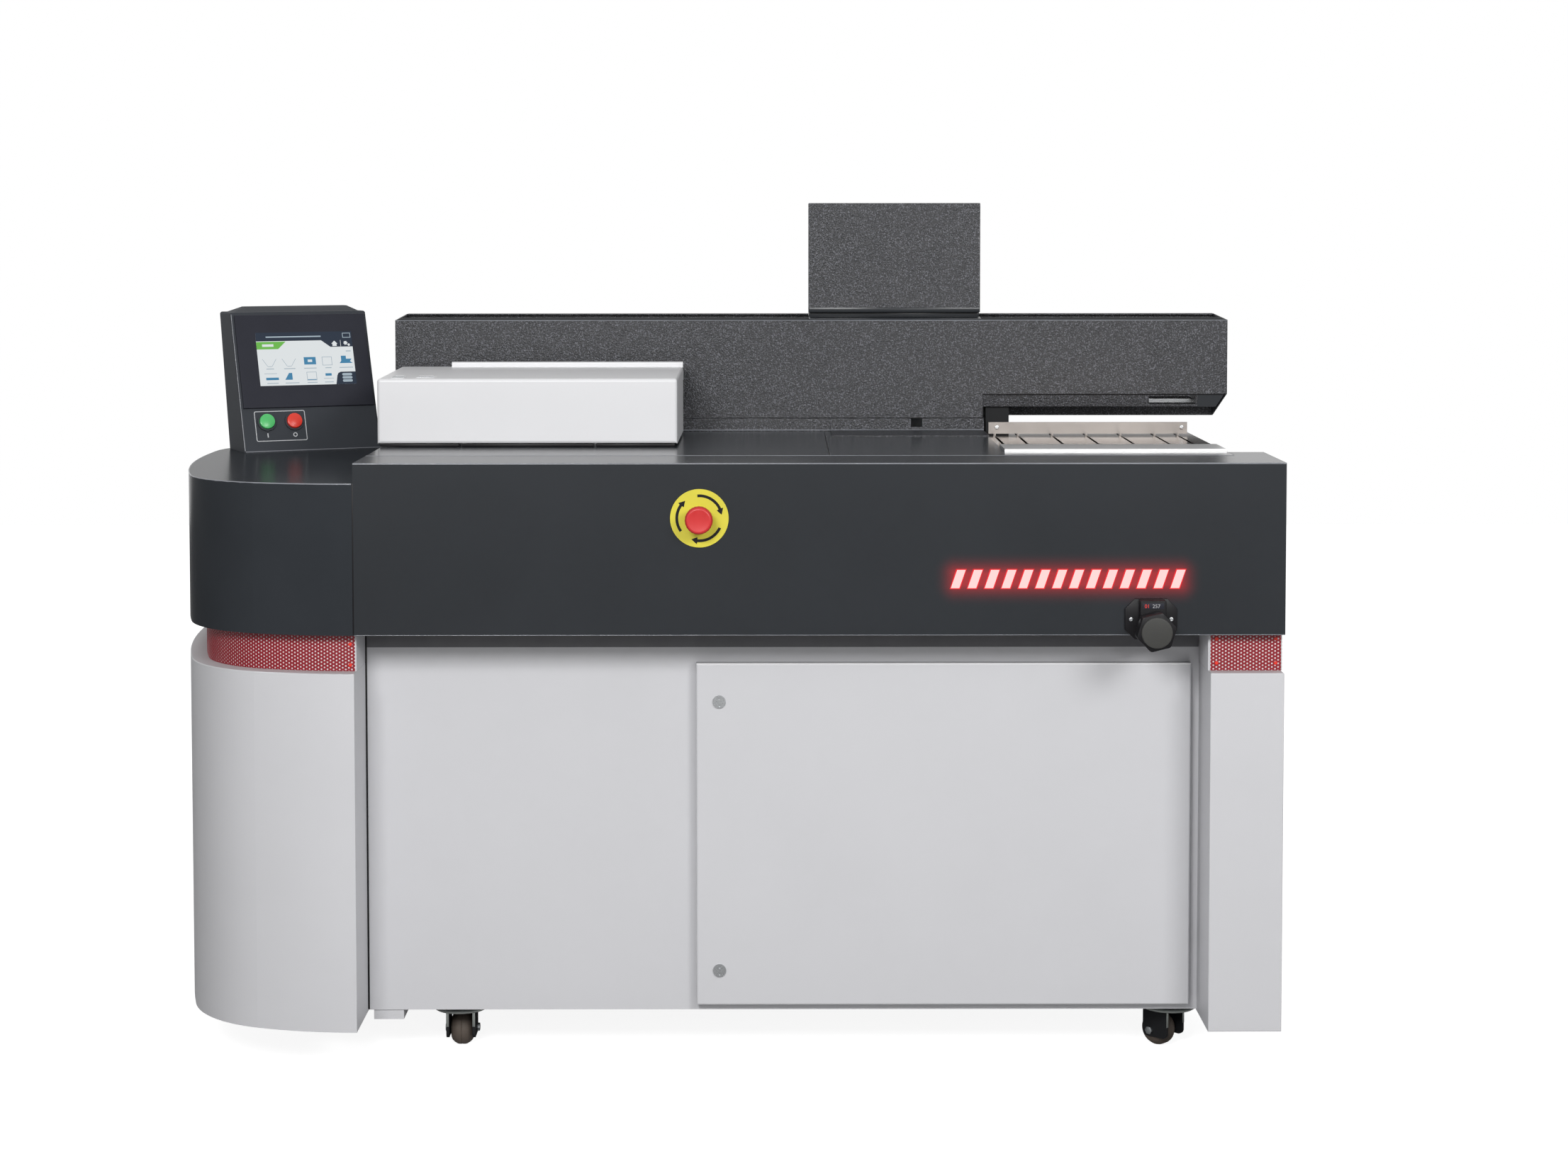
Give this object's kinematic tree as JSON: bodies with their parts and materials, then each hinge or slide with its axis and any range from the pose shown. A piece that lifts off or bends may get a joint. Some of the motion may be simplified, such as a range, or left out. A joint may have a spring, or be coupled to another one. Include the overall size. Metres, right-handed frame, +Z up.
{
  "type": "perfect binding machine",
  "caption": "Floor-standing perfect binding machine: cabinet on casters, cover table, white glue hood, long clamp beam with tower, swivelled touch console and red perforated bands.",
  "frame": {"origin": "on the floor under the middle of the overall box", "axes": "+X to the operator's right along the beam, +Y to the rear, +Z up"},
  "size_m": [1.6583, 0.84, 1.263],
  "materials": {
    "charcoal_paint": "satin",
    "texture_paint": "coarse",
    "light_grey_paint": "satin",
    "white_paint": "satin",
    "red_mesh": "satin",
    "frame_paint": "matte",
    "stainless": "brushed",
    "polished_steel": "polished",
    "bright_metal": "satin",
    "zinc_steel": "satin",
    "black_plastic": "satin",
    "gloss_black": "gloss",
    "yellow_plastic": "satin",
    "red_plastic": "satin",
    "green_plastic": "satin",
    "sign_light": "gloss",
    "caster_tyre": "matte"
  },
  "bodies": {
    "machine": {"beam_front_cover": "texture_paint", "beam_posts": "frame_paint", "beam_rail": "frame_paint", "beam_rear_cover": "texture_paint", "cabinet_front_panel": "light_grey_paint", "cabinet_rear_panels": "light_grey_paint", "caster_plates": "zinc_steel", "console_housing": "charcoal_paint", "deck_plate_left": "charcoal_paint", "deck_plate_right": "charcoal_paint", "display_panel": "gloss_black", "door_hinges": "zinc_steel", "drive_chain": "bright_metal", "drive_motor": "black_plastic", "dust_outlet": "zinc_steel", "electrical_plate": "zinc_steel", "front_fascia": "charcoal_paint", "glue_nozzle": "bright_metal", "glue_tank": "bright_metal", "hood_rail": "zinc_steel", "left_band_mesh": "red_mesh", "left_column_cover": "light_grey_paint", "left_drum_cover": "charcoal_paint", "milling_motor": "frame_paint", "nip_bar_fixed": "bright_metal", "position_indicator": "black_plastic", "rear_sill": "texture_paint", "right_band_mesh": "red_mesh", "right_column_cover": "light_grey_paint", "sign_bars": "sign_light", "station_deck": "zinc_steel", "stop_base": "yellow_plastic", "table_front_bar": "polished_steel", "table_plates": "stainless", "transport_block": "light_grey_paint", "welded_frame": "frame_paint"},
    "carriage": {"clamp_carriage": "zinc_steel", "tower_cover": "texture_paint"},
    "jaw": {"moving_jaw": "bright_metal"},
    "drive_wheel": {"drive_sprocket": "bright_metal"},
    "idler_wheel": {"idler_sprocket": "bright_metal"},
    "cutter": {"milling_cutter": "bright_metal"},
    "nip_bar": {"nip_bar_moving": "bright_metal"},
    "cover_lay": {"cover_lay_rail": "stainless"},
    "hand_knob": {"adjust_knob": "black_plastic", "lead_screw": "bright_metal"},
    "start_key": {"start_button": "green_plastic"},
    "stop_key": {"stop_button": "red_plastic"},
    "emergency_plunger": {"stop_plunger": "black_plastic"},
    "emergency_head": {"stop_head": "red_plastic"},
    "door": {"cabinet_door": "light_grey_paint"},
    "door_lock_lower": {"lower_lock": "bright_metal"},
    "door_lock_upper": {"upper_lock": "bright_metal"},
    "hood": {"glue_hood": "white_paint"},
    "swivel_left": {"fork_front_left": "frame_paint"},
    "swivel_right": {"fork_front_right": "frame_paint"},
    "roller_front_left": {"wheel_front_left": "caster_tyre"},
    "roller_front_right": {"wheel_front_right": "caster_tyre"},
    "roller_rear_left": {"wheel_rear_left": "caster_tyre"},
    "roller_rear_right": {"wheel_rear_right": "caster_tyre"}
  },
  "joints": [
    {"name": "carriage_travel", "type": "slide", "parent": "machine", "child": "carriage", "axis": [1, 0, 0], "range_m": [-0.6, 0.34]},
    {"name": "jaw_close", "type": "slide", "parent": "carriage", "child": "jaw", "axis": [0, -1, 0], "range_m": [0, 0.036]},
    {"name": "drive_turn", "type": "hinge", "parent": "machine", "child": "drive_wheel", "pos_m": [-0.425, 0.3, 0.961], "axis": [0, 1, 0], "range_deg": [-1450, 830]},
    {"name": "idler_turn", "type": "hinge", "parent": "machine", "child": "idler_wheel", "pos_m": [0.78, 0.3, 0.961], "axis": [0, 1, 0], "range_deg": [-1450, 830]},
    {"name": "cutter_spin", "type": "hinge", "parent": "machine", "child": "cutter", "pos_m": [0.06, 0.33, 0.89], "axis": [0, 0, 1], "continuous": true},
    {"name": "nip_close", "type": "slide", "parent": "machine", "child": "nip_bar", "axis": [0, -1, 0], "range_m": [0, 0.014]},
    {"name": "lay_travel", "type": "slide", "parent": "machine", "child": "cover_lay", "axis": [0, 1, 0], "range_m": [-0.12, 0.03]},
    {"name": "knob_turn", "type": "hinge", "parent": "machine", "child": "hand_knob", "pos_m": [0.6195, -0.4, 0.656], "axis": [0, 1, 0], "range_deg": [-10850, 2750]},
    {"name": "start_press", "type": "slide", "parent": "machine", "child": "start_key", "axis": [-0.4119, 0.8446, -0.342], "range_m": [0, 0.003], "stiffness_N_per_m": 400},
    {"name": "stop_press", "type": "slide", "parent": "machine", "child": "stop_key", "axis": [-0.4119, 0.8446, -0.342], "range_m": [0, 0.003], "stiffness_N_per_m": 400},
    {"name": "emergency_press", "type": "slide", "parent": "machine", "child": "emergency_plunger", "axis": [0, 1, 0], "range_m": [0, 0.005], "stiffness_N_per_m": 600},
    {"name": "emergency_twist", "type": "hinge", "parent": "emergency_plunger", "child": "emergency_head", "pos_m": [-0.0226, -0.39, 0.812], "axis": [0, 1, 0], "range_deg": [0, 45], "stiffness_Nm_per_rad": 0.05},
    {"name": "door_swing", "type": "hinge", "parent": "machine", "child": "door", "pos_m": [0.682, -0.264, 0.34], "axis": [0, 0, 1], "range_deg": [0, 95]},
    {"name": "lower_lock_turn", "type": "hinge", "parent": "door", "child": "door_lock_lower", "pos_m": [0.003, -0.265, 0.1383], "axis": [0, -1, 0], "range_deg": [0, 90]},
    {"name": "upper_lock_turn", "type": "hinge", "parent": "door", "child": "door_lock_upper", "pos_m": [0.003, -0.265, 0.534], "axis": [0, -1, 0], "range_deg": [0, 90]},
    {"name": "hood_lift", "type": "hinge", "parent": "machine", "child": "hood", "pos_m": [-0.292, 0.201, 0.985], "axis": [1, 0, 0], "range_deg": [-70, 0]},
    {"name": "swivel_left_turn", "type": "hinge", "parent": "machine", "child": "swivel_left", "pos_m": [-0.3845, -0.185, 0.066], "axis": [0, 0, 1], "continuous": true},
    {"name": "swivel_right_turn", "type": "hinge", "parent": "machine", "child": "swivel_right", "pos_m": [0.672, -0.185, 0.066], "axis": [0, 0, 1], "continuous": true},
    {"name": "front_left_roll", "type": "hinge", "parent": "swivel_left", "child": "roller_front_left", "pos_m": [-0.3845, -0.167, 0.025], "axis": [1, 0, 0], "continuous": true},
    {"name": "front_right_roll", "type": "hinge", "parent": "swivel_right", "child": "roller_front_right", "pos_m": [0.65927, -0.17227, 0.025], "axis": [0.7071, 0.7071, 0], "continuous": true},
    {"name": "rear_left_roll", "type": "hinge", "parent": "machine", "child": "roller_rear_left", "pos_m": [-0.3845, 0.363, 0.025], "axis": [1, 0, 0], "continuous": true},
    {"name": "rear_right_roll", "type": "hinge", "parent": "machine", "child": "roller_rear_right", "pos_m": [0.672, 0.363, 0.025], "axis": [1, 0, 0], "continuous": true}
  ],
  "couplings": [
    {"joint": "drive_turn", "follows": "carriage_travel", "rad_per_m": 41.152},
    {"joint": "idler_turn", "follows": "carriage_travel", "rad_per_m": 41.152},
    {"joint": "knob_turn", "follows": "lay_travel", "rad_per_m": 1570.8}
  ]
}
